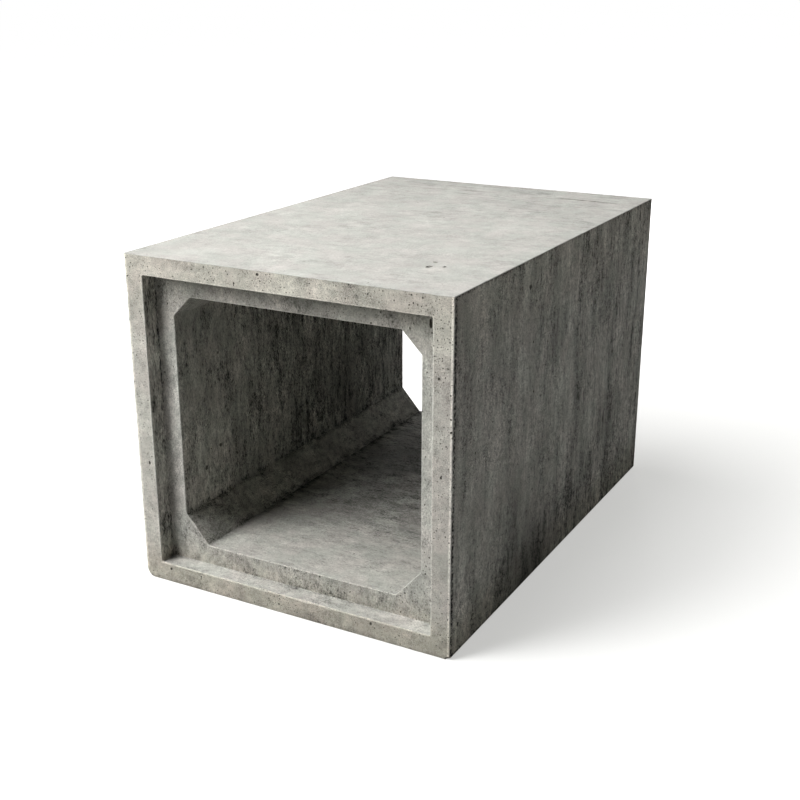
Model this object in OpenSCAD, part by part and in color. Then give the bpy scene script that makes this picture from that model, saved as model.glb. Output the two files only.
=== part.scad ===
// Precast box culvert unit: one concrete casting, open at both ends, with haunched corners
// inside and a rebate in each end face for the joint to the next unit in the run.
// X is across the bore, Y runs along it with the front end towards -Y, and Z is up.
// The origin is on the bed, midway along and across the unit.

/* [Outside] */
// Width over the side walls
outer_w = 800; // [600:10:1200]
// Height from the bed to the crown
outer_h = 780; // [600:10:1200]
// Length from one end face to the other
outer_l = 1200; // [800:50:2400]

/* [Walls] */
// Thickness of each side wall
wall_t = 92; // [80:2:120]
// Thickness of the roof slab and of the floor slab
slab_t = 94; // [80:2:120]

/* [Haunches] */
// Width and height of the haunches under the roof
roof_haunch = 46; // [20:2:80]
// Width of the haunches on the floor
floor_haunch_w = 60; // [20:2:80]
// Height of the haunches on the floor
floor_haunch_h = 68; // [20:2:80]

/* [Joints] */
// Thickness of the rim that is left around the front rebate
front_rim_t = 46; // [36:2:60]
// Depth of the front rebate
front_rebate_d = 44; // [20:2:100]
// Thickness of the rim that is left around the rear rebate
rear_rim_t = 38; // [36:2:60]
// Depth of the rear rebate
rear_rebate_d = 102; // [20:2:120]
// Radius in the four corners of each rebate
rebate_corner_r = 4; // [2:1:20]

/* [Lower edges] */
// Radius of the lower left edge, which is the more worn
left_edge_r = 22; // [6:1:40]
// Radius of the lower right edge
right_edge_r = 6; // [6:1:40]

/* [Hidden] */

$fn = 48;
half_w = outer_w / 2;
half_l = outer_l / 2;
bore_half_w = half_w - wall_t;
bore_floor = slab_t;
bore_roof = outer_h - slab_t;
// How far a cut runs past the face that it opens
overrun = 10;
concrete = [0.68, 0.67, 0.63];

// Draws a section, given across X and up Z, as a bar from y_start to y_end
module along_y(y_start, y_end) {
    translate([0, y_end, 0])
        rotate([90, 0, 0])
            linear_extrude(y_end - y_start)
                children();
}

// The waste outside a rounded corner at the origin; side is 1 where the body lies to +X
module corner_waste(r, side) {
    difference() {
        translate([min(0, side * r), 0])
            square(r);
        translate([side * r, r])
            circle(r);
    }
}

// Outline of the casting, with its two lower edges rounded
module outer_section() {
    difference() {
        translate([-half_w, 0])
            square([outer_w, outer_h]);
        translate([-half_w, 0])
            corner_waste(left_edge_r, 1);
        translate([half_w, 0])
            corner_waste(right_edge_r, -1);
    }
}

// Outline of the bore, drawn around from the left of its roof
module bore_section() {
    polygon([
        [roof_haunch - bore_half_w, bore_roof],
        [bore_half_w - roof_haunch, bore_roof],
        [bore_half_w, bore_roof - roof_haunch],
        [bore_half_w, bore_floor + floor_haunch_h],
        [bore_half_w - floor_haunch_w, bore_floor],
        [floor_haunch_w - bore_half_w, bore_floor],
        [-bore_half_w, bore_floor + floor_haunch_h],
        [-bore_half_w, bore_roof - roof_haunch]
    ]);
}

// Outline of a rebate inside a rim of the given thickness: a rectangle with rounded corners
module rebate_section(rim_t) {
    w = outer_w - 2 * rim_t;
    h = outer_h - 2 * rim_t;
    r = rebate_corner_r;
    translate([-w / 2, rim_t]) {
        translate([r, 0])
            square([w - 2 * r, h]);
        translate([0, r])
            square([w, h - 2 * r]);
        for (x = [r, w - r])
            for (z = [r, h - r])
                translate([x, z])
                    circle(r);
    }
}

module culvert_unit() {
    color(concrete)
        difference() {
            along_y(-half_l, half_l) outer_section();
            along_y(-half_l - overrun, half_l + overrun) bore_section();
            along_y(-half_l - overrun, front_rebate_d - half_l) rebate_section(front_rim_t);
            along_y(half_l - rear_rebate_d, half_l + overrun) rebate_section(rear_rim_t);
        }
}

culvert_unit();
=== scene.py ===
import math

import bmesh
import bpy
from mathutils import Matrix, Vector, kdtree, noise


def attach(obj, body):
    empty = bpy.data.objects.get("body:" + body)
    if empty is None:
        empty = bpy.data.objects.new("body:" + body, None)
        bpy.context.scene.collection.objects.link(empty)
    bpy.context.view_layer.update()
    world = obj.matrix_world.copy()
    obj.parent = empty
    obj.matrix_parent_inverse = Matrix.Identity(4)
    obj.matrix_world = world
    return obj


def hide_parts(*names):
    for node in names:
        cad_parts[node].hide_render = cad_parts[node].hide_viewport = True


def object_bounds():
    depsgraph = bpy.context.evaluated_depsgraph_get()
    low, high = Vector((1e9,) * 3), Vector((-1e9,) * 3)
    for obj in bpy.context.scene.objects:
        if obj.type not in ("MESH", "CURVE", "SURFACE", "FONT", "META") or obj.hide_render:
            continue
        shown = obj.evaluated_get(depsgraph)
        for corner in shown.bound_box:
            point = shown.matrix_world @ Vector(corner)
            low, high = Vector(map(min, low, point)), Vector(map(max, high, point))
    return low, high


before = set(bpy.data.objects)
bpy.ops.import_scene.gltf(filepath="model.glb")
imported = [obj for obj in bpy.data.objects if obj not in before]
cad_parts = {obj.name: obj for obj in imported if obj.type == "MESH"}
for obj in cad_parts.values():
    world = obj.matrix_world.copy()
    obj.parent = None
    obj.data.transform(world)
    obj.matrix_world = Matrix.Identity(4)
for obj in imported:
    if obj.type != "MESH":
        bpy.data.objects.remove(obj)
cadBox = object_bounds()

# X is across the unit, Y runs along it from the front end to the rear one, and Z is up
halfWidth, halfLength, height = cadBox[1]

unitSettings = {
    "wall": 0.092,
    "slab": 0.094,
    "haunchWidth": 0.060,    # of the haunches on the floor
    "haunchHeight": 0.068,
    "frontRim": 0.046,
    "frontRebate": 0.044,
    "rearRim": 0.038,
    "rearRebate": 0.102,
}

# Where the faces of the casting meet
boreWall = halfWidth - unitSettings["wall"]
haunchFoot = boreWall - unitSettings["haunchWidth"]
haunchTop = unitSettings["slab"] + unitSettings["haunchHeight"]
frontShoulder = unitSettings["frontRebate"] - halfLength
rearShoulder = halfLength - unitSettings["rearRebate"]


# Shader maths: a wire stands for one value, and arithmetic on it adds Math nodes
class Wire:
    def __init__(self, shader, socket):
        self.shader = shader
        self.socket = socket

    def __add__(self, other):
        return self.shader.maths("ADD", self, other)

    def __radd__(self, other):
        return self.shader.maths("ADD", other, self)

    def __sub__(self, other):
        return self.shader.maths("SUBTRACT", self, other)

    def __rsub__(self, other):
        return self.shader.maths("SUBTRACT", other, self)

    def __mul__(self, other):
        return self.shader.maths("MULTIPLY", self, other)

    def __rmul__(self, other):
        return self.shader.maths("MULTIPLY", other, self)

    def __abs__(self):
        return self.shader.maths("ABSOLUTE", self)


# The node tree of a material or of a world
class Shader:
    def __init__(self, owner):
        owner.use_nodes = True
        self.tree = owner.node_tree
        self.tree.nodes.clear()

    # Adds a node of any type: its settings come first, then the values or wires of its inputs
    def node(self, kind, settings=None, inputs=None, output=0):
        made = self.tree.nodes.new(kind)
        for key, value in (settings or {}).items():
            setattr(made, key, value)
        for key, value in (inputs or {}).items():
            if isinstance(value, Wire):
                self.tree.links.new(value.socket, made.inputs[key])
            else:
                made.inputs[key].default_value = value
        return Wire(self, made.outputs[output]) if len(made.outputs) else None

    def maths(self, operation, *values):
        return self.node("ShaderNodeMath", {"operation": operation}, dict(enumerate(values)))

    def vectorMaths(self, operation, *values, output=0):
        return self.node("ShaderNodeVectorMath", {"operation": operation}, dict(enumerate(values)), output)

    def least(self, first, second):
        return self.maths("MINIMUM", first, second)

    def most(self, first, second):
        return self.maths("MAXIMUM", first, second)

    def objectPlace(self):
        return self.node("ShaderNodeTexCoord", output="Object")

    def along(self, vector, axis):
        return self.node("ShaderNodeSeparateXYZ", None, {0: vector}, axis)

    def stretched(self, vector, factors):
        return self.vectorMaths("MULTIPLY", vector, factors)

    def distance(self, vector, point):
        return self.vectorMaths("DISTANCE", vector, point, output="Value")

    def cloud(self, vector, scale, detail=3.0, roughness=0.5):
        return self.node("ShaderNodeTexNoise", None,
                         {"Vector": vector, "Scale": scale, "Detail": detail, "Roughness": roughness})

    # Runs softly from start, where the value is low, to end, where it is high
    def band(self, value, low, high, start=0.0, end=1.0):
        return self.node("ShaderNodeMapRange", {"interpolation_type": "SMOOTHSTEP"},
                         {"Value": value, "From Min": low, "From Max": high, "To Min": start, "To Max": end})

    def grey(self, value):
        return self.node("ShaderNodeCombineColor", None, {0: value, 1: value, 2: value})

    def mixed(self, share, first, second, blend="MIX"):
        return self.node("ShaderNodeMix", {"data_type": "RGBA", "blend_type": blend, "clamp_factor": True},
                         {0: share, 6: first, 7: second}, 2)

    def multiplied(self, first, second):
        return self.mixed(1.0, first, second, "MULTIPLY")


# The camera
cameraSettings = {
    "lens": 54.604,
    "sensor": 36.0,
    "azimuth": 28.632,       # in degrees, from the front end towards the right side
    "elevation": 19.333,
    "distance": 3.0223,
    "aim": (-0.0007, -0.0806, 0.3482),
    "farthest": 200.0,
}


def towards(azimuth, elevation):
    turn, rise = math.radians(azimuth), math.radians(elevation)
    return Vector((math.sin(turn) * math.cos(rise), -math.cos(turn) * math.cos(rise), math.sin(rise)))


def addLookingAt(name, data, aim, azimuth, elevation, distance):
    thing = bpy.data.objects.new(name, data)
    bpy.context.scene.collection.objects.link(thing)
    outward = towards(azimuth, elevation)
    thing.location = Vector(aim) + outward * distance
    thing.rotation_euler = (-outward).to_track_quat("-Z", "Y").to_euler()
    return thing


def placeCamera(settings):
    data = bpy.data.cameras.new("camera")
    data.lens = settings["lens"]
    data.sensor_width = settings["sensor"]
    data.clip_end = settings["farthest"]
    bpy.context.scene.camera = addLookingAt(
        "camera", data, settings["aim"], settings["azimuth"], settings["elevation"], settings["distance"])


placeCamera(cameraSettings)
bpy.context.scene.view_settings.view_transform = "Standard"
print("camera placed")


# The studio: a pale floor that fades to white, soft round lamps, and a surround that only shows
studioSettings = {
    "lamps": {
        # name: azimuth, elevation, distance, size, irradiance at the aim
        "keyLamp": (-37.0, 43.0, 4.8, 2.4, 0.74),
        "lowLamp": (-30.0, 28.0, 4.8, 2.4, 0.45),
        "roofLamp": (-62.0, 71.0, 4.6, 3.2, 0.98),
        "sideLamp": (100.0, 35.0, 5.0, 3.0, 0.11),
        "backLamp": (152.0, 50.0, 4.5, 3.4, 0.14),
        "rearLamp": (196.0, 1.5, 5.0, 0.8, 0.20),
    },
    "floorHalf": 40.0,                     # half the width of the floor
    "floorLit": (0.55, 0.55, 0.545, 1),    # what takes the shadow
    "floorFelt": (0.30, 0.30, 0.294, 1),   # what throws light back at the object
    "glowCentre": (0.40, -0.30, 0.0),
    "glow": (0.5, 3.6, 0.455, 1.0),        # from and to this far away, rising from and to this level
    "tintEnds": (1.2, 3.0),
    "tint": (1.0, 1.0, 0.975, 1),
    "white": (1.0, 1.0, 1.0, 1),
}


def addLamp(name, aim, azimuth, elevation, distance, size, irradiance):
    data = bpy.data.lights.new(name, "AREA")
    data.shape = "DISK"
    data.size = size
    data.energy = irradiance * (math.pi * distance) ** 2
    lamp = addLookingAt(name, data, aim, azimuth, elevation, distance)
    lamp.visible_camera = False


def floorMaterial(settings):
    material = bpy.data.materials.new("studioFloor")
    shader = Shader(material)
    away = shader.distance(shader.objectPlace(), settings["glowCentre"])
    glow = shader.grey(shader.band(away, *settings["glow"]))
    tint = shader.mixed(shader.band(away, *settings["tintEnds"]), settings["tint"], settings["white"])
    seen = shader.node("ShaderNodeAddShader", None, {
        0: shader.node("ShaderNodeBsdfDiffuse", None, {"Color": settings["floorLit"]}),
        1: shader.node("ShaderNodeEmission", None, {"Color": shader.multiplied(glow, tint)}),
    })
    felt = shader.node("ShaderNodeBsdfDiffuse", None, {"Color": settings["floorFelt"]})
    isCamera = shader.node("ShaderNodeLightPath", output="Is Camera Ray")
    shown = shader.node("ShaderNodeMixShader", None, {0: isCamera, 1: felt, 2: seen})
    shader.node("ShaderNodeOutputMaterial", None, {"Surface": shown})
    return material


def addFloor(settings):
    half = settings["floorHalf"]
    corners = [(-half, -half, 0), (half, -half, 0), (half, half, 0), (-half, half, 0)]
    mesh = bpy.data.meshes.new("studioFloor")
    mesh.from_pydata(corners, [], [(0, 1, 2, 3)])
    mesh.materials.append(floorMaterial(settings))
    floor = bpy.data.objects.new("studioFloor", mesh)
    bpy.context.scene.collection.objects.link(floor)


def addSurround(settings):
    world = bpy.data.worlds.new("studioSurround")
    bpy.context.scene.world = world
    shader = Shader(world)
    isCamera = shader.node("ShaderNodeLightPath", output="Is Camera Ray")
    shown = shader.node("ShaderNodeBackground", None, {"Color": settings["white"], "Strength": isCamera})
    shader.node("ShaderNodeOutputWorld", None, {"Surface": shown})


for name, values in studioSettings["lamps"].items():
    addLamp(name, (0.0, 0.0, height / 2), *values)
addFloor(studioSettings)
addSurround(studioSettings)
print("studio built")


# The finishes of the concrete. Each one gives what differs from the plain concrete. Depths are
# shares of the colour, and a run stretches a texture along x, y and z.
plainConcrete = {
    "clouds": 0.3,                # depth of the broad clouds
    "cloudRun": (1.0, 1.0, 1.0),
    "mottle": 50.0,               # fineness of the mottling
    "mottleDepth": 2.0,
    "grainDepth": 2.4,
    "flecks": 0.10,               # depth of the dark flecks
    "run": (1.0, 1.0, 1.0),       # of the mottling, the grain and the flecks
    "gain": (1.0, 1.0),           # strength of all these at the front and further back
    "sides": (1.0, 1.0),          # and on the left and on the right
    "streakRun": (30.0, 30.0, 30.0),
    "streakDepth": 0.0,
    "streakRear": 1.0,            # how many times deeper the streaks are at the rear
    "pinholes": 0.5,              # share of the pinholes that show
    "relief": 0.0030,             # height of the bump that the textures make
    "grime": (0.10, 0.0, 0.0),    # height that it reaches, its depth, and the depth of its blotches
    "bedStain": 0.0,              # share of the damp along the bed and of the warm tint
    "topShade": 0.0,              # depth of the shade under the roof
    "edgeLine": 0.0,              # depth of the broken dark line along the outer arrises
    "creaseShade": (0.011, 0.0),       # width and depth of the shade along the haunches on the floor
    "junction": 0.0,              # depth of the shade where a rim meets its shoulder
    "paleEdge": 0.0,              # depth of the pale lines along the edges of a rim
    "darkerAlongY": (0.0, 0.5, 0.0),    # darkens between two places along y, by this depth
    "stainsAndShades": (),                 # each with its middle, its reach and its depth, below 0 if pale
}

finishes = {
    # the roof slab, struck off and floated across the unit
    "roofConcrete": {
        "colour": (0.391, 0.386, 0.365),
        "clouds": 0.42, "cloudRun": (1.0, 0.8, 1.0),
        "mottle": 46.0, "mottleDepth": 0.8, "grainDepth": 0.9, "flecks": 0.03, "run": (0.55, 0.6, 1.0),
        "gain": (1.1, 1.15),
        "streakRun": (7.0, 70.0, 34.0), "streakDepth": 0.12, "streakRear": 2.2,
        "pinholes": 0.03, "relief": 0.0028,
        "darkerAlongY": (0.0, 0.6, 0.09),
        "stainsAndShades": (
            ((0.245, -0.385, 0.78), 0.055, 0.16),
            ((0.31, 0.52, 0.78), 0.05, -0.08),
            ((-0.38, -0.55, 0.78), 0.09, 0.09),
        ),
    },
    # the outer sides and the underside, off the mould
    "sideConcrete": {
        "colour": (0.455, 0.448, 0.412),
        "clouds": 2.0, "cloudRun": (1.0, 1.8, 0.45),
        "mottle": 90.0, "mottleDepth": 3.3, "grainDepth": 4.6, "flecks": 0.18, "run": (1.0, 1.0, 0.65),
        "gain": (1.0, 1.25), "sides": (0.50, 1.0),
        "streakRun": (80.0, 80.0, 6.0), "streakDepth": 0.16, "streakRear": 2.6,
        "pinholes": 0.14, "relief": 0.0042,
        "grime": (0.30, 0.12, 0.30), "bedStain": 1.0, "edgeLine": 1.0,
        "darkerAlongY": (0.0, 0.5, 0.08),
        "stainsAndShades": (
            ((0.40, -0.17, 0.02), 0.27, 0.75),
            ((0.40, -0.58, 0.15), 0.16, -0.26),
            ((0.40, -0.24, 0.21), 0.15, 0.32),
            ((0.40, -0.38, 0.50), 0.22, -0.20),
            ((0.40, -0.15, 0.585), 0.11, -0.20),
            ((0.40, 0.14, 0.66), 0.14, -0.26),
            ((0.40, -0.60, 0.74), 0.12, 0.28),
        ),
    },
    # the end faces
    "endConcrete": {
        "colour": (0.454, 0.437, 0.401),
        "clouds": 1.1, "mottleDepth": 2.1, "grainDepth": 2.6, "flecks": 0.12,
        "streakRun": (40.0, 40.0, 12.0),
        "relief": 0.0026,
        "grime": (0.14, 0.09, 0.09), "bedStain": 1.0, "paleEdge": 0.48,
        "stainsAndShades": (
            ((0.08, -0.60, 0.74), 0.14, -0.34),
            ((0.25, -0.60, 0.704), 0.06, -0.26),
            ((0.35, -0.60, 0.66), 0.09, 0.18),
            ((-0.35, -0.60, 0.11), 0.10, -0.16),
        ),
    },
    # the shoulders behind the rims
    "shoulderConcrete": {
        "colour": (0.446, 0.438, 0.408),
        "clouds": 1.1, "mottle": 48.0, "grainDepth": 2.6, "run": (1.0, 1.0, 0.7),
        "streakRun": (120.0, 120.0, 6.0), "streakDepth": 0.14,
        "relief": 0.0028,
        "grime": (0.17, 0.28, 0.18), "bedStain": 1.0, "topShade": 0.16, "junction": 0.10,
        "stainsAndShades": (
            # painted shade in the top right inner corner
            ((0.328, -0.556, 0.706), 0.030, 0.35),
            # painted light on the left, where the rim's shadow falls
            ((-0.33, -0.556, 0.46), 0.34, -0.18),
            ((0.22, -0.556, 0.69), 0.08, -0.28),
            ((0.284, -0.556, 0.156), 0.07, -0.22),
            ((0.0, -0.556, 0.046), 0.12, -0.16),
        ),
    },
    # the sides and the top of the rebates
    "rebateConcrete": {
        "colour": (0.478, 0.468, 0.434),
        "clouds": 1.2, "cloudRun": (1.0, 1.0, 0.5),
        "mottle": 46.0, "mottleDepth": 4.8, "grainDepth": 4.4, "flecks": 0.16, "run": (1.0, 1.0, 0.3),
        "gain": (1.0, 0.6), "sides": (1.0, 0.50),
        "streakRun": (130.0, 130.0, 3.5), "streakDepth": 0.95,
        "relief": 0.0050,
        "grime": (0.12, 0.12, 0.10), "bedStain": 1.0, "topShade": 0.22, "junction": 0.16,
        "stainsAndShades": (
            # painted shade in the lower left inner corner
            ((-0.354, -0.560, 0.046), 0.032, 1.2),
        ),
    },
    # the bottom of the rebates
    "shelfConcrete": {
        "colour": (0.446, 0.438, 0.410),
        "clouds": 1.4, "mottleDepth": 2.5, "flecks": 0.08, "run": (0.7, 1.0, 1.0),
        "streakRun": (40.0, 40.0, 40.0),
        "pinholes": 0.2, "relief": 0.0036,
        "junction": 0.16,
        "stainsAndShades": (
            # painted shade in the lower left inner corner
            ((-0.354, -0.560, 0.046), 0.050, 1.0),
        ),
    },
    # the walls and the roof of the bore, off the core
    "wallConcrete": {
        "colour": (0.444, 0.436, 0.401),
        "clouds": 1.5, "cloudRun": (1.0, 1.6, 0.45),
        "mottle": 80.0, "mottleDepth": 3.6, "grainDepth": 4.2, "flecks": 0.16, "run": (1.0, 1.1, 0.4),
        "gain": (1.0, 1.6), "sides": (1.0, 0.60),
        "streakRun": (70.0, 60.0, 6.0), "streakDepth": 0.50, "streakRear": 0.85,
        "pinholes": 0.3, "relief": 0.0040,
        "creaseShade": (0.012, 0.30),
        # painted shade, deeper into the bore
        "darkerAlongY": (-0.48, -0.24, 0.30),
        "stainsAndShades": (
            ((-0.308, -0.26, 0.16), 0.14, 0.30),
            ((-0.308, 0.17, 0.25), 0.20, 0.46),
            ((-0.308, -0.47, 0.60), 0.17, 0.32),
            ((-0.308, -0.47, 0.31), 0.15, -0.34),
        ),
    },
    "haunchConcrete": {
        "colour": (0.346, 0.339, 0.311),
        "clouds": 0.8, "mottleDepth": 4.0, "grainDepth": 4.2, "flecks": 0.12, "run": (1.0, 0.8, 1.0),
        "gain": (1.0, 1.1),
        "streakRun": (40.0, 40.0, 40.0),
        "pinholes": 0.3, "relief": 0.0040,
        "creaseShade": (0.012, 0.42),
    },
    # the floor of the bore, trowelled across
    "floorConcrete": {
        "colour": (0.452, 0.444, 0.412),
        "clouds": 0.6, "mottle": 44.0, "mottleDepth": 1.8, "grainDepth": 2.2, "flecks": 0.07,
        "run": (0.5, 0.9, 1.0),
        "gain": (0.85, 1.7),
        "streakRun": (7.0, 90.0, 50.0), "streakDepth": 0.22, "streakRear": 1.15,
        "pinholes": 0.1, "relief": 0.0034,
        "creaseShade": (0.026, 0.45),
        # painted shade, deeper into the bore
        "darkerAlongY": (-0.45, -0.12, 0.37),
        # painted shade over the floor of the bore, where its walls and roof shade it
        "stainsAndShades": (
            ((-0.07, -0.17, 0.094), 0.22, 0.26),
            ((-0.13, 0.14, 0.094), 0.24, 0.56),
            ((-0.21, -0.35, 0.094), 0.13, 0.30),
        ),
    },
    # rubbed arrises
    "arrisConcrete": {
        "colour": (0.60, 0.588, 0.552),
        "mottle": 60.0, "flecks": 0.12,
        "pinholes": 0.1,
        "grime": (0.10, 0.13, 0.10), "bedStain": 1.0,
        "darkerAlongY": (-0.590, -0.565, 0.16),
    },
    # the inside of a chip
    "brokenConcrete": {
        "colour": (0.33, 0.318, 0.288),
        "mottle": 90.0, "mottleDepth": 2.4, "grainDepth": 1.6,
        "pinholes": 0.2, "relief": 0.0035,
        "grime": (0.10, 0.05, 0.10), "bedStain": 1.0,
    },
    # the lap line and the pits in the roof, painted dark as the shade inside them
    "hollowShadeConcrete": {
        "colour": (0.175, 0.171, 0.155),
        "mottle": 80.0, "mottleDepth": 2.4, "grainDepth": 1.6,
        "pinholes": 0.0, "relief": 0.0020,
    },
    # the inside of an air hole, painted dark as its shade, with some dirt
    "holeConcrete": {
        "colour": (0.13, 0.124, 0.108),
        "mottle": 80.0, "mottleDepth": 1.0, "grainDepth": 0.5, "flecks": 0.0,
        "pinholes": 0.0, "relief": 0.0010,
    },
}
finishNames = list(finishes)


# What all the finishes share. A noise is given by its scale, detail and roughness, and a band by
# the two values between which it sets in, with its two levels after them where they aren't 0 and 1.
layerSettings = {
    "cloudNoise": (11.0, 4.0, 0.6),
    "mottleNoise": (9.0, 0.8),              # without its scale, which each finish gives
    "grainNoise": (420.0, 4.0, 0.8),
    "fleckNoise": (160.0, 3.0, 0.65),
    "fleckBand": (0.56, 0.66),
    "fleckMean": 0.2,
    "unevenNoise": (12.0, 2.0),
    "unevenBand": (0.35, 0.65, 0.75, 1.25),
    "gainAlong": (-0.5, 0.1),               # places along y between which the gain changes
    "gainAcross": (-0.1, 0.1),              # and along x
    "wanderScale": 25.0,
    "wander": (0.02, 0.02, 0.02),
    "patchRun": (1.0, 1.0, 0.5),
    "patchNoise": (9.0, 2.0),
    "patchBand": (0.40, 0.62),
    "patchRear": (0.30, 0.42),              # past these places along y streaks are everywhere
    "dripNoise": (1.0, 5.0, 0.7),
    "darkStreak": (0.54, 0.66),
    "paleStreak": (0.46, 0.34, 0.0, 0.6),
    "streakAlong": (-0.1, 0.5),
    "pinholeScale": 210.0,
    "pinholeNoise": (9.0, 2.0),
    "pinholeBand": (0.35, 0.65),
    "pinholeSize": (0.30, 0.12),
    "pinholeShadeColour": (0.13, 0.125, 0.11, 1),
    "bedLine": (0.012, 0.001, 0.0, 0.2),
    "topShade": (0.45, 0.72),
    "dashNoise": (130.0, 2.0),
    "dashBand": (0.38, 0.56),
    "edgeLine": (0.016, 0.006),
    "edgeAlong": (-0.5, 0.2, 1.0, 0.3),
    "edgeAcross": (-0.1, 0.1, 0.25, 1.0),
    "edgeShift": (0.006, 0.004),            # narrows the line along the roof and along the bed
    "junction": (0.010, 0.0),
    "junctionUnder": (0.690, 0.734, 1.0, 4.5),
    "paleInner": (0.0045, 0.001),
    "paleOuter": (0.0075, 0.0045, 0.0, 1.4),
    "tintNoise": (14.0, 3.0),
    "tintBand": (0.35, 0.65),
    "pinkTint": (1.017, 0.995, 0.983, 1),
    "greenTint": (0.985, 1.005, 0.979, 1),
    "warmLow": (0.13, 0.02),
    "warmHigh": (0.56, 0.75, 0.0, 0.5),
    "warmTint": (0.985, 0.96, 0.90, 1),
    "roughness": (-0.1, 0.1, 0.84, 0.96),
    "shine": 0.3,
}


# One finish: what its layers share is made first, then each method gives one layer. Layers are
# changes of tone around nothing, which are added up before they colour the concrete.
class Concrete(Shader):
    def __init__(self, owner, look, shared):
        super().__init__(owner)
        self.look = look
        self.shared = shared
        self.place = self.objectPlace()
        self.x, self.y, self.z = [self.along(self.place, axis) for axis in range(3)]
        drawn = self.stretched(self.place, look["run"])
        self.clouds = self.cloud(self.stretched(self.place, look["cloudRun"]), *shared["cloudNoise"]) - 0.5
        self.mottle = self.cloud(drawn, look["mottle"], *shared["mottleNoise"]) - 0.5
        self.grain = self.cloud(drawn, *shared["grainNoise"]) - 0.5
        self.flecks = self.band(self.cloud(drawn, *shared["fleckNoise"]), *shared["fleckBand"])
        self.dashes = self.band(self.cloud(self.place, *shared["dashNoise"]), *shared["dashBand"])
        self.gain = self.band(self.y, *shared["gainAlong"], *look["gain"])
        self.gain = self.gain * self.band(self.x, *shared["gainAcross"], *look["sides"])
        self.fromSide = halfWidth - abs(self.x)
        self.pastRim = self.beyondRim()
        self.wander = self.wanderingPlace()
        self.streaks = self.streakPattern()
        self.holes = self.pinholePattern()

    # How far a place lies past the inner edge of its rim, towards the outside
    def beyondRim(self):
        rim = self.band(self.y, -0.01, 0.01, unitSettings["frontRim"], unitSettings["rearRim"])
        return rim - self.least(self.fromSide, height / 2 - abs(self.z - height / 2))

    # The place, pushed about a little, so that streaks and stains don't end evenly
    def wanderingPlace(self):
        inputs = {"Vector": self.place, "Scale": self.shared["wanderScale"]}
        push = self.node("ShaderNodeTexNoise", None, inputs, "Color")
        return self.vectorMaths("MULTIPLY_ADD", push, self.shared["wander"], self.place)

    # Dark streaks and weaker pale ones, in patches, and everywhere near the rear end
    def streakPattern(self):
        shared = self.shared
        patches = self.cloud(self.stretched(self.place, shared["patchRun"]), *shared["patchNoise"])
        patches = self.band(patches, *shared["patchBand"])
        patches = self.most(patches, self.band(self.y, *shared["patchRear"]))
        drips = self.cloud(self.stretched(self.wander, self.look["streakRun"]), *shared["dripNoise"])
        return (self.band(drips, *shared["darkStreak"]) - self.band(drips, *shared["paleStreak"])) * patches

    # Small round holes, too small to be cut into the mesh, in loose groups
    def pinholePattern(self):
        cells = {"Vector": self.place, "Scale": self.shared["pinholeScale"]}
        away = self.node("ShaderNodeTexVoronoi", {"feature": "F1"}, cells, "Distance")
        kind = self.node("ShaderNodeTexVoronoi", {"feature": "F1"}, cells, "Color")
        chance = self.node("ShaderNodeSeparateColor", None, {0: kind})
        groups = self.band(self.cloud(self.place, *self.shared["pinholeNoise"]), *self.shared["pinholeBand"])
        present = self.maths("LESS_THAN", chance, groups * self.look["pinholes"])
        return self.band(away, *self.shared["pinholeSize"]) * present

    def texture(self):
        look, shared = self.look, self.shared
        tone = self.clouds * look["clouds"] + self.mottle * look["mottleDepth"]
        tone = tone + self.grain * look["grainDepth"] - (self.flecks - shared["fleckMean"]) * look["flecks"]
        uneven = self.band(self.cloud(self.place, *shared["unevenNoise"]), *shared["unevenBand"])
        return tone * uneven * self.gain

    def streakTone(self):
        front = self.look["streakDepth"]
        depth = self.band(self.y, *self.shared["streakAlong"], front, front * self.look["streakRear"])
        return self.streaks * self.gain * depth

    # Soiling that rises from the bed
    def grime(self):
        reach, depth, blotches = self.look["grime"]
        soiled = (self.clouds * 2.0 + self.mottle * 5.0) * self.gain * blotches - depth
        return self.band(self.z, reach, 0.0) * soiled

    # A broken dark line beside the outer arrises, strongest at the front right
    def edgeLine(self):
        shared = self.shared
        fromRoof, fromBed = shared["edgeShift"]
        fromEdge = self.least(halfLength - abs(self.y), height - self.z + fromRoof)
        fromEdge = self.least(fromEdge, self.z + fromBed)
        where = self.band(self.y, *shared["edgeAlong"]) * self.band(self.x, *shared["edgeAcross"])
        return self.band(fromEdge, *shared["edgeLine"]) * self.dashes * where * self.look["edgeLine"]

    # Painted shade along the tops of the haunches on the floor and along the foot of the left one
    def creaseShade(self):
        width, depth = self.look["creaseShade"]
        fromCrease = self.least(abs(self.z - haunchTop), abs(self.x + haunchFoot))
        return self.band(fromCrease + self.mottle * 0.01, width, 0.0) * depth

    # Shade where a rim meets its shoulder, deepest under the roof
    def junction(self):
        fromShoulder = self.least(abs(self.y - frontShoulder), abs(self.y - rearShoulder))
        fromJunction = self.most(fromShoulder, abs(self.pastRim)) + self.mottle * 0.006
        under = self.band(self.z, *self.shared["junctionUnder"])
        return self.band(fromJunction, *self.shared["junction"]) * self.look["junction"] * under

    # Pale lines along the inner edge of a rim and along its outer arris
    def paleEdge(self):
        inner = self.band(self.pastRim, *self.shared["paleInner"])
        outer = self.band(self.fromSide, *self.shared["paleOuter"])
        return self.most(inner, outer) * self.look["paleEdge"] * (self.dashes * 0.6 + 0.4)

    def darkerAlongY(self):
        start, end, depth = self.look["darkerAlongY"]
        return self.band(self.y, start, end) * depth

    def tone(self):
        bedLine = self.band(self.z, *self.shared["bedLine"]) * self.look["bedStain"]
        topShade = self.band(self.z, *self.shared["topShade"]) * self.look["topShade"]
        tone = self.texture() - self.streakTone() + self.grime() - bedLine - topShade
        tone = tone - self.edgeLine() - self.creaseShade() - self.junction() + self.paleEdge()
        tone = tone - self.darkerAlongY() + 1.0
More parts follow.
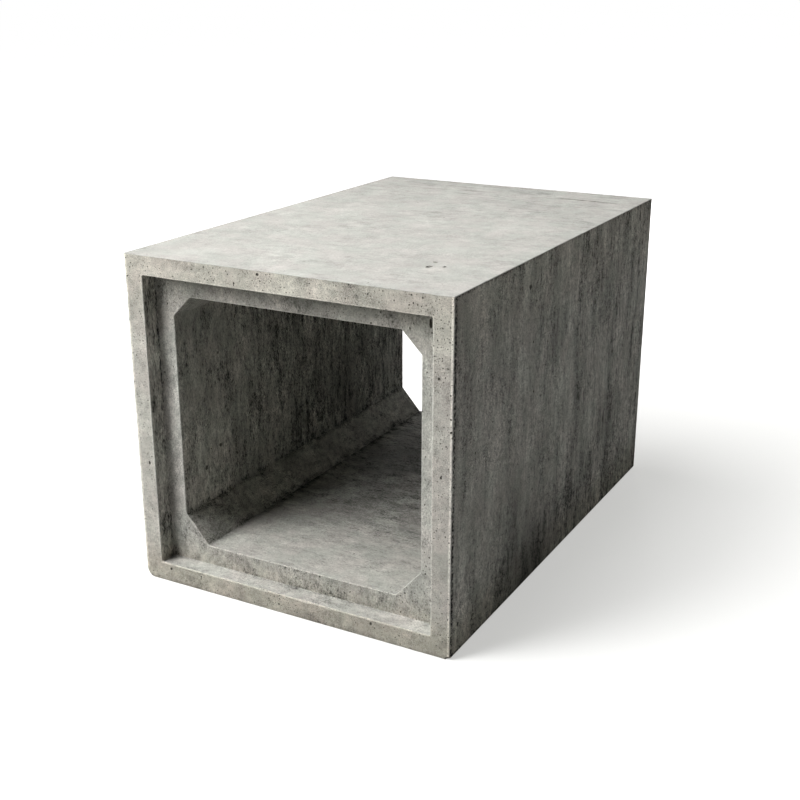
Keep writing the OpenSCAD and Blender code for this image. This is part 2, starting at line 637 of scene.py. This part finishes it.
        # stains, and the painted shade and light that some finishes list among them
        for middle, reach, depth in self.look["stainsAndShades"]:
            near = self.band(self.distance(self.wander, middle), reach, 0.0)
            tone = tone * (1.0 - near * (self.mottle * 2.0 + 0.7) * depth)
        return tone

    # Faint pink and green patches, and a warm cast towards the bed and the top
    def tint(self):
        shared = self.shared
        patches = self.band(self.cloud(self.place, *shared["tintNoise"]), *shared["tintBand"])
        tint = self.mixed(patches, shared["pinkTint"], shared["greenTint"])
        warm = self.band(self.z, *shared["warmLow"]) + self.band(self.z, *shared["warmHigh"])
        return self.mixed(warm * self.look["bedStain"], tint, shared["warmTint"], "MULTIPLY")

    def finish(self):
        colour = self.multiplied(self.grey(self.tone()), self.tint())
        colour = self.multiplied(colour, (*self.look["colour"], 1))
        # pinholes painted dark, as the shade inside them
        colour = self.mixed(self.holes * 0.6, colour, self.shared["pinholeShadeColour"])
        relief = self.mottle + self.grain * 0.6 - self.streaks * 0.03 - self.holes * 0.3 - self.flecks * 0.05
        bumped = self.node("ShaderNodeBump", None, {"Distance": self.look["relief"], "Height": relief})
        surface = self.node("ShaderNodeBsdfPrincipled", None, {
            "Base Color": colour,
            "Roughness": self.band(self.grain, *self.shared["roughness"]),
            "Normal": bumped,
            "Specular IOR Level": self.shared["shine"],
        })
        self.node("ShaderNodeOutputMaterial", None, {"Surface": surface})


def concreteMaterial(name):
    material = bpy.data.materials.new(name)
    Concrete(material, {**plainConcrete, **finishes[name]}, layerSettings).finish()
    return material


finishMaterials = {name: concreteMaterial(name) for name in finishNames}
print("finishes made")


# The casting: a merged copy of the CAD node, with worn arrises
castingSettings = {
    "gridStep": 0.11,        # longest side of a flat patch
    "arrisStep": 0.007,      # spacing of the cuts along an arris
    "arrisWidth": 0.0030,    # width of the wear where its share is 1
    "arrisSegments": 3,
    "curveAngle": 25.0,      # below this an edge is part of a curve
    "rubbedAngle": 40.0,     # above this, and pointing outwards, an arris is worn unevenly
    "wearLeast": 0.45,
    "wearMean": 0.70,
    "wearSlow": (9.0, 0.10),      # fineness and strength of its slow changes
    "wearQuick": (70.0, 0.20),    # and of its quick ones
    "wearChips": (33.0, 3.0),     # and of the bites out of it
    "chipLevel": 0.45,            # the higher, the fewer bites
    "chipShift": (7.1, 3.3, 5.7),
    "cornerWear": 1.5,       # most at a corner where three arrises meet
    "rimDepth": 0.02,        # an end face this near to its end is a rim, any other a shoulder
    "boreInset": 0.06,       # faces further in than this belong to the bore
    "rebateInset": 0.03,     # and other faces further in than this to a rebate
    "roofArris": 0.004,      # a rubbed arris has the roof's finish down to here below the top
}


# Cuts the flat faces into patches, between the places where the shape itself has points
def splitFlats(mesh, step):
    for axis in range(3):
        places = sorted({round(vert.co[axis], 5) for vert in mesh.verts})
        normal = Vector((0, 0, 0))
        normal[axis] = 1
        for low, high in zip(places, places[1:]):
            count = math.ceil((high - low) / step)
            for index in range(1, count):
                point = normal * (low + (high - low) * index / count)
                geometry = mesh.verts[:] + mesh.edges[:] + mesh.faces[:]
                bmesh.ops.bisect_plane(mesh, geom=geometry, plane_co=point, plane_no=normal, dist=1e-6)
    mesh.normal_update()


def cutAlong(edge, count):
    near, far = edge.verts
    for left in range(count, 0, -1):
        near = bmesh.utils.edge_split(edge, near, 1 / (left + 1))[1]
        edge = next(e for e in near.link_edges if far in e.verts)


# Bend across an edge in degrees, above 0 where the edge points outwards
def bend(edge):
    return math.degrees(edge.calc_face_angle_signed(0))


def arrisesIn(edges, settings):
    return [edge for edge in edges if abs(bend(edge)) > settings["curveAngle"]]


# Share of the mean width that is worn off at a point of an arris
def wearAt(point, settings):
    fineness, strength = settings["wearSlow"]
    wear = settings["wearMean"] + noise.noise(point * fineness) * strength
    fineness, strength = settings["wearQuick"]
    wear += noise.noise(point * fineness) * strength
    fineness, strength = settings["wearChips"]
    chips = noise.noise(point * fineness + Vector(settings["chipShift"])) - settings["chipLevel"]
    return max(settings["wearLeast"], wear + max(0.0, chips) * strength)


def finishIndex(face, settings):
    centre, normal = face.calc_center_median(), face.normal
    inset = min(halfWidth - abs(centre.x), centre.z, height - centre.z)
    if abs(normal.y) > 0.9:
        onRim = halfLength - abs(centre.y) < settings["rimDepth"]
        name = "endConcrete" if onRim else "shoulderConcrete"
    elif inset > settings["boreInset"] and 0.2 < abs(normal.z) < 0.9:
        name = "haunchConcrete"
    elif inset > settings["boreInset"]:
        name = "floorConcrete" if normal.z > 0.9 else "wallConcrete"
    elif inset > settings["rebateInset"]:
        name = "shelfConcrete" if normal.z > 0.9 else "rebateConcrete"
    else:
        name = "roofConcrete" if normal.z > 0.9 else "sideConcrete"
    return finishNames.index(name)


# For each point of the arrises, the share of the wear there and whether it is rubbed
def wearPoints(arrises, settings):
    points = {}
    for edge in arrises:
        for vert in edge.verts:
            meeting = [bend(e) for e in arrisesIn(vert.link_edges, settings)]
            rubbed = max(meeting) > settings["rubbedAngle"]
            share = wearAt(vert.co, settings) if rubbed else 1.0
            if len(meeting) > 2:
                share = min(share, settings["cornerWear"])
            points[vert.co.copy().freeze()] = (share, rubbed)
    return points


# Bevels the arrises by one width, then draws each new point in or out by the wear nearest to it
def wearArrises(mesh, settings):
    arrises = arrisesIn(mesh.edges, settings)
    points = wearPoints(arrises, settings)
    shares = list(points.values())
    tree = kdtree.KDTree(len(points))
    for index, point in enumerate(points):
        tree.insert(point, index)
    tree.balance()
    made = bmesh.ops.bevel(mesh, geom=arrises, offset=settings["arrisWidth"], offset_type="OFFSET",
                           segments=settings["arrisSegments"], profile=0.5, affect="EDGES",
                           clamp_overlap=False, material=-1)
    for face in made["faces"]:
        centre = face.calc_center_median()
        rubbed = shares[tree.find(centre)[1]][1]
        if rubbed:
            onRoof = height - centre.z < settings["roofArris"]
            face.material_index = finishNames.index("roofConcrete" if onRoof else "arrisConcrete")
    for vert in made["verts"]:
        point, index, _ = tree.find(vert.co)
        vert.co = point + (vert.co - point) * shares[index][0]


def meshFrom(made, name, *finishesUsed):
    data = bpy.data.meshes.new(name)
    made.to_mesh(data)
    made.free()
    for finish in finishesUsed:
        data.materials.append(finishMaterials[finish])
    return data


def wornCasting(source, settings):
    mesh = bmesh.new()
    mesh.from_mesh(source.data)
    bmesh.ops.remove_doubles(mesh, verts=mesh.verts, dist=1e-5)
    bmesh.ops.dissolve_limit(mesh, angle_limit=math.radians(1), verts=mesh.verts, edges=mesh.edges)
    splitFlats(mesh, settings["gridStep"])
    for edge in arrisesIn(mesh.edges, settings):
        cutAlong(edge, int(edge.calc_length() / settings["arrisStep"]))
    mesh.normal_update()
    for face in mesh.faces:
        face.material_index = finishIndex(face, settings)
    wearArrises(mesh, settings)
    bmesh.ops.recalc_face_normals(mesh, faces=mesh.faces)
    mesh.normal_update()
    print("open edges:", sum(1 for edge in mesh.edges if len(edge.link_faces) != 2))
    casting = bpy.data.objects.new("culvertCasting", meshFrom(mesh, "culvertCasting", *finishNames))
    bpy.context.scene.collection.objects.link(casting)
    return casting


casting = wornCasting(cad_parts["culvert_unit"], castingSettings)
print("casting worn:", len(casting.data.vertices), "points")


# Air holes and chips: balls scattered over one finish of the casting, to be cut out of it. Each
# scatter gives what differs from the plain one, under the names of the tree's inputs.
plainScatter = {
    "Cut Finish": "holeConcrete",
    "Cluster Size": 0.20,
    "Cluster Share": 0.50,        # how much of the finish lies inside a cluster
    "Ball Fineness": 1,
    "Unevenness": 0.0,
}

scatterSettings = {
    "rimPits": {
        "Finish": "endConcrete", "Cuts per Square Metre": 24000.0, "Spacing": 0.0046,
        "Smallest Radius": 0.0009, "Largest Radius": 0.0022, "Cluster Size": 0.09,
        "Thickest Place": (0.30, -0.6, 0.74), "Thickest Reach": 0.34, "Seed": 3,
    },
    "endHoles": {
        "Finish": "endConcrete", "Cuts per Square Metre": 450.0, "Spacing": 0.0120,
        "Smallest Radius": 0.0018, "Largest Radius": 0.0038, "Ball Fineness": 2, "Cluster Share": 0.55,
        "Thickest Place": (0.3, -0.6, 0.05), "Thickest Reach": 0.3, "Seed": 4,
    },
    "shoulderHoles": {
        "Finish": "shoulderConcrete", "Cuts per Square Metre": 6500.0, "Spacing": 0.0074,
        "Smallest Radius": 0.0012, "Largest Radius": 0.0028, "Cluster Size": 0.12,
        "Thickest Place": (0.28, -0.556, 0.07), "Thickest Reach": 0.25, "Seed": 14,
    },
    "sideHoles": {
        "Finish": "sideConcrete", "Cuts per Square Metre": 260.0, "Spacing": 0.0110,
        "Smallest Radius": 0.0012, "Largest Radius": 0.0028, "Cluster Size": 0.25, "Cluster Share": 0.6,
        "Thickest Place": (0.4, 0.4, 0.3), "Thickest Reach": 0.3, "Seed": 5,
    },
    "sideBigHoles": {
        "Finish": "sideConcrete", "Cuts per Square Metre": 30.0, "Spacing": 0.0400,
        "Smallest Radius": 0.0026, "Largest Radius": 0.0050, "Ball Fineness": 2,
        "Cluster Size": 0.25, "Cluster Share": 0.6,
        "Thickest Place": (0.4, -0.4, 0.2), "Thickest Reach": 0.3, "Seed": 6,
    },
    "wallHoles": {
        "Finish": "wallConcrete", "Cuts per Square Metre": 450.0, "Spacing": 0.0110,
        "Smallest Radius": 0.0012, "Largest Radius": 0.0028, "Cluster Share": 0.6,
        "Thickest Place": (-0.308, -0.4, 0.25), "Thickest Reach": 0.2, "Seed": 8,
    },
    "wallBigHoles": {
        "Finish": "wallConcrete", "Cuts per Square Metre": 70.0, "Spacing": 0.0400,
        "Smallest Radius": 0.0026, "Largest Radius": 0.0050, "Ball Fineness": 2, "Cluster Share": 0.6,
        "Thickest Place": (-0.308, -0.4, 0.3), "Thickest Reach": 0.2, "Seed": 7,
    },
    "floorHoles": {
        "Finish": "floorConcrete", "Cuts per Square Metre": 160.0, "Spacing": 0.0110,
        "Smallest Radius": 0.0012, "Largest Radius": 0.0036, "Ball Fineness": 2, "Cluster Size": 0.22,
        "Thickest Place": (0.1, -0.4, 0.09), "Thickest Reach": 0.1, "Seed": 9,
    },
    "roofHoles": {
        "Finish": "roofConcrete", "Cuts per Square Metre": 120.0, "Spacing": 0.0100,
        "Smallest Radius": 0.0010, "Largest Radius": 0.0026,
        "Thickest Place": (0.2, 0.4, 0.78), "Thickest Reach": 0.1, "Seed": 11,
    },
    "arrisChips": {
        "Finish": "arrisConcrete", "Cut Finish": "brokenConcrete",
        "Cuts per Square Metre": 700.0, "Spacing": 0.0250,
        "Smallest Radius": 0.0016, "Largest Radius": 0.0040, "Ball Fineness": 2, "Unevenness": 0.0016,
        "Cluster Size": 0.30, "Cluster Share": 0.7,
        "Thickest Place": (0.4, -0.6, 0.7), "Thickest Reach": 0.2, "Seed": 12,
    },
}

scatterInputs = {
    "Casting": "NodeSocketGeometry",
    "Finish": "NodeSocketMaterial",
    "Cut Finish": "NodeSocketMaterial",
    "Cuts per Square Metre": "NodeSocketFloat",
    "Smallest Radius": "NodeSocketFloat",
    "Largest Radius": "NodeSocketFloat",
    "Spacing": "NodeSocketFloat",
    "Cluster Size": "NodeSocketFloat",
    "Cluster Share": "NodeSocketFloat",
    "Thickest Place": "NodeSocketVector",
    "Thickest Reach": "NodeSocketFloat",
    "Ball Fineness": "NodeSocketInt",
    "Unevenness": "NodeSocketFloat",
    "Seed": "NodeSocketInt",
}


# A tree of geometry nodes, with the identifiers of its named inputs
class Scatter:
    def __init__(self, name, inputs, result):
        self.tree = bpy.data.node_groups.new(name, "GeometryNodeTree")
        self.ports = {}
        for port, kind in inputs.items():
            made = self.tree.interface.new_socket(port, in_out="INPUT", socket_type=kind)
            self.ports[port] = made.identifier
        self.tree.interface.new_socket(result, in_out="OUTPUT", socket_type="NodeSocketGeometry")

    def node(self, kind, settings=None, inputs=None):
        made = self.tree.nodes.new(kind)
        for key, value in (settings or {}).items():
            setattr(made, key, value)
        for key, value in (inputs or {}).items():
            if isinstance(value, bpy.types.NodeSocket):
                self.tree.links.new(value, made.inputs[key])
            else:
                made.inputs[key].default_value = value
        return made.outputs

    def maths(self, operation, *values):
        return self.node("ShaderNodeMath", {"operation": operation}, dict(enumerate(values)))[0]

    def random(self, kind, low, high, seed):
        first, output = (2, 1) if kind == "FLOAT" else (0, 0)
        return self.node("FunctionNodeRandomValue", {"data_type": kind},
                         {first: low, first + 1: high, "Seed": seed})[output]

    def soft(self, value, inputs):
        return self.node("ShaderNodeMapRange", {"interpolation_type": "SMOOTHSTEP"},
                         {"Value": value, **inputs})[0]

    def scaled(self, vector, factor):
        return self.node("ShaderNodeVectorMath", {"operation": "SCALE"}, {0: vector, "Scale": factor})[0]


# Share of the cuts at a place: clusters of them, and more of them around the thickest place
def scatterShare(scatter, given):
    frequency = scatter.maths("DIVIDE", 1.0, given["Cluster Size"])
    start = scatter.node("ShaderNodeMapRange", None, {
        "Value": given["Cluster Share"], "To Min": 0.7, "To Max": 0.3})[0]
    clusters = scatter.node("ShaderNodeTexNoise", None, {"Scale": frequency, "Detail": 2.0})[0]
    above = scatter.maths("SUBTRACT", clusters, start)
    thick = scatter.soft(above, {"From Min": -0.04, "From Max": 0.12, "To Min": 0.03, "To Max": 1.0})
    place = scatter.node("GeometryNodeInputPosition")[0]
    away = scatter.node("ShaderNodeVectorMath", {"operation": "DISTANCE"},
                        {0: place, 1: given["Thickest Place"]})["Value"]
    nearby = scatter.soft(away, {"From Max": given["Thickest Reach"], "To Min": 0.75, "To Max": 0.0})
    return scatter.maths("MAXIMUM", thick, nearby)


# Balls on the points, mostly small ones, each stretched and turned in its own way
def scatterBalls(scatter, given, points):
    seed = given["Seed"]
    rare = scatter.maths("POWER", scatter.random("FLOAT", 0.0, 1.0, seed), 2.6)
    radius = scatter.node("ShaderNodeMapRange", None, {
        "Value": rare, "To Min": given["Smallest Radius"], "To Max": given["Largest Radius"]})[0]
    lopsided = scatter.random("FLOAT_VECTOR", (0.75, 0.75, 0.6), (1.25, 1.1, 1.0), seed)
    turn = scatter.random("FLOAT_VECTOR", (0.0, 0.0, 0.0), (6.28, 6.28, 6.28), seed)
    ball = scatter.node("GeometryNodeMeshIcoSphere", None,
                        {"Radius": 1.0, "Subdivisions": given["Ball Fineness"]})["Mesh"]
    placed = scatter.node("GeometryNodeInstanceOnPoints", None, {
        "Points": points, "Instance": ball, "Rotation": turn, "Scale": scatter.scaled(lopsided, radius)})[0]
    return scatter.node("GeometryNodeRealizeInstances", None, {"Geometry": placed})[0]


def cutterScatter():
    scatter = Scatter("cutters", scatterInputs, "Cutters")
    given = scatter.node("NodeGroupInput")
    chosen = scatter.node("GeometryNodeMaterialSelection", None, {"Material": given["Finish"]})[0]
    points = scatter.node("GeometryNodeDistributePointsOnFaces", {"distribute_method": "POISSON"}, {
        "Mesh": given["Casting"], "Selection": chosen, "Distance Min": given["Spacing"],
        "Density Max": given["Cuts per Square Metre"], "Density Factor": scatterShare(scatter, given),
        "Seed": given["Seed"]})["Points"]
    balls = scatterBalls(scatter, given, points)
    rough = scatter.node("ShaderNodeTexNoise", None, {"Scale": 170.0, "Detail": 1.0})[1]
    centred = scatter.node("ShaderNodeVectorMath", {"operation": "SUBTRACT"},
                           {0: rough, 1: (0.5, 0.5, 0.5)})[0]
    uneven = scatter.node("GeometryNodeSetPosition", None, {
        "Geometry": balls, "Offset": scatter.scaled(centred, given["Unevenness"])})[0]
    finished = scatter.node("GeometryNodeSetMaterial", None,
                            {"Geometry": uneven, "Material": given["Cut Finish"]})[0]
    scatter.node("NodeGroupOutput", None, {"Cutters": finished})
    return scatter


def evaluatedMesh(thing):
    bpy.context.view_layer.update()
    graph = bpy.context.evaluated_depsgraph_get()
    return bpy.data.meshes.new_from_object(thing.evaluated_get(graph), depsgraph=graph)


def scattered(casting, scatter, settings):
    holder = bpy.data.objects.new("cutters", casting.data)
    bpy.context.scene.collection.objects.link(holder)
    modifier = holder.modifiers.new("cutters", "NODES")
    modifier.node_group = scatter.tree
    for name, value in {**plainScatter, **settings}.items():
        modifier[scatter.ports[name]] = finishMaterials[value] if isinstance(value, str) else value
    mesh = evaluatedMesh(holder)
    bpy.data.objects.remove(holder)
    return mesh


# Single pits, each with its middle and its three radii
pitSettings = {
    "sidePit": ((halfWidth, -0.232, 0.718), (0.0040, 0.0070, 0.0060)),
    "wallPitFront": ((-boreWall, -0.472, 0.248), (0.0035, 0.0050, 0.0055)),
    "wallPitRear": ((-boreWall, -0.414, 0.286), (0.0035, 0.0045, 0.0045)),
    # cut into the corner under the right rim and painted dark, standing in for the corner's shade
    "rebateShadeSlot": ((0.327, frontShoulder, 0.707), (0.0030, 0.0060, 0.0110)),
}

roofPitSettings = {
    "front": ((0.244, -0.404, height), (0.0068, 0.0105, 0.0045)),
    "rear": ((0.236, -0.360, height), (0.0048, 0.0048, 0.0028)),
    "right": ((0.273, -0.390, height), (0.0040, 0.0060, 0.0028)),
}

cornerSettings = {
    "frontRight": ((halfWidth, -halfLength, 0.0), (0.0105, 0.0105, 0.0085)),
}


def pitMesh(pits, finish):
    mesh = bmesh.new()
    for centre, radii in pits.values():
        middle = Vector(centre)
        for vert in bmesh.ops.create_icosphere(mesh, subdivisions=3, radius=1.0)["verts"]:
            swell = 1.0 + 0.35 * noise.noise(vert.co * 1.3 + middle * 40.0)
            vert.co = middle + Vector(vert.co[axis] * radii[axis] * swell for axis in range(3))
    return meshFrom(mesh, "pits", finish)


# The lap line on the roof, where one batch met the next: a thin groove of uneven width
lapSettings = {
    "route": ((0.150, 0.472), (0.202, 0.482), (0.262, 0.480), (0.345, 0.478)),
    "step": 0.0025,
    "halfWidth": 0.0056,
    "depth": 0.0050,
    "overlap": 0.001,        # how far the cutter stands above the roof
    "wander": 0.0060,
    "leastWidth": 0.25,      # at its ends, as a share of the width
}


# Three points of the cutter around a place on the route: two above the roof and one below it
def lapRing(mesh, place, across, route, settings):
    point = place + across * noise.noise(place * 14.0) * settings["wander"]
    fade = math.sin(math.pi * (point.x - route[0].x) / (route[-1].x - route[0].x))
    width = max(settings["leastWidth"], fade * (0.9 + 0.7 * noise.noise(point * 60.0)))
    side = across * settings["halfWidth"] * width * 1.4
    above = Vector((0, 0, settings["overlap"]))
    below = Vector((0, 0, -settings["depth"]))
    return [mesh.verts.new(point + offset) for offset in (above - side, above + side, below)]


def lapLineMesh(settings):
    mesh = bmesh.new()
    rings = []
    route = [Vector((*place, height)) for place in settings["route"]]
    for start, end in zip(route, route[1:]):
        count = int((end - start).length / settings["step"])
        across = (end - start).normalized().cross(Vector((0, 0, 1)))
        for index in range(count + 1 if end is route[-1] else count):
            rings.append(lapRing(mesh, start.lerp(end, index / count), across, route, settings))
    for ring, following in zip(rings, rings[1:]):
        for side in range(3):
            other = (side + 1) % 3
            mesh.faces.new((ring[side], following[side], following[other], ring[other]))
    mesh.faces.new(rings[0])
    mesh.faces.new(reversed(rings[-1]))
    bmesh.ops.recalc_face_normals(mesh, faces=mesh.faces)
    return meshFrom(mesh, "lapLine", "hollowShadeConcrete")


def cutOut(casting, mesh):
    cutter = bpy.data.objects.new("cutter", mesh)
    bpy.context.scene.collection.objects.link(cutter)
    modifier = casting.modifiers.new("cut", "BOOLEAN")
    modifier.operation = "DIFFERENCE"
    modifier.solver = "MANIFOLD"
    modifier.material_mode = "TRANSFER"
    modifier.object = cutter
    cut = evaluatedMesh(casting)
    casting.modifiers.clear()
    casting.data = cut
    bpy.data.objects.remove(cutter)


scatter = cutterScatter()
cutters = {name: scattered(casting, scatter, settings) for name, settings in scatterSettings.items()}
cutters["pits"] = pitMesh(pitSettings, "holeConcrete")
cutters["roofPits"] = pitMesh(roofPitSettings, "hollowShadeConcrete")
cutters["corners"] = pitMesh(cornerSettings, "endConcrete")
cutters["lapLine"] = lapLineMesh(lapSettings)
for name, mesh in cutters.items():
    cutOut(casting, mesh)
    print("cut out", name)

roundFinishes = ("arrisConcrete", "holeConcrete", "hollowShadeConcrete")
roundSlots = [slot for slot, used in enumerate(casting.data.materials)
              if used and used.name in roundFinishes]
for polygon in casting.data.polygons:
    polygon.use_smooth = polygon.material_index in roundSlots
print("casting done:", sum(len(polygon.vertices) - 2 for polygon in casting.data.polygons), "triangles")

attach(casting, "root")
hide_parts("culvert_unit")
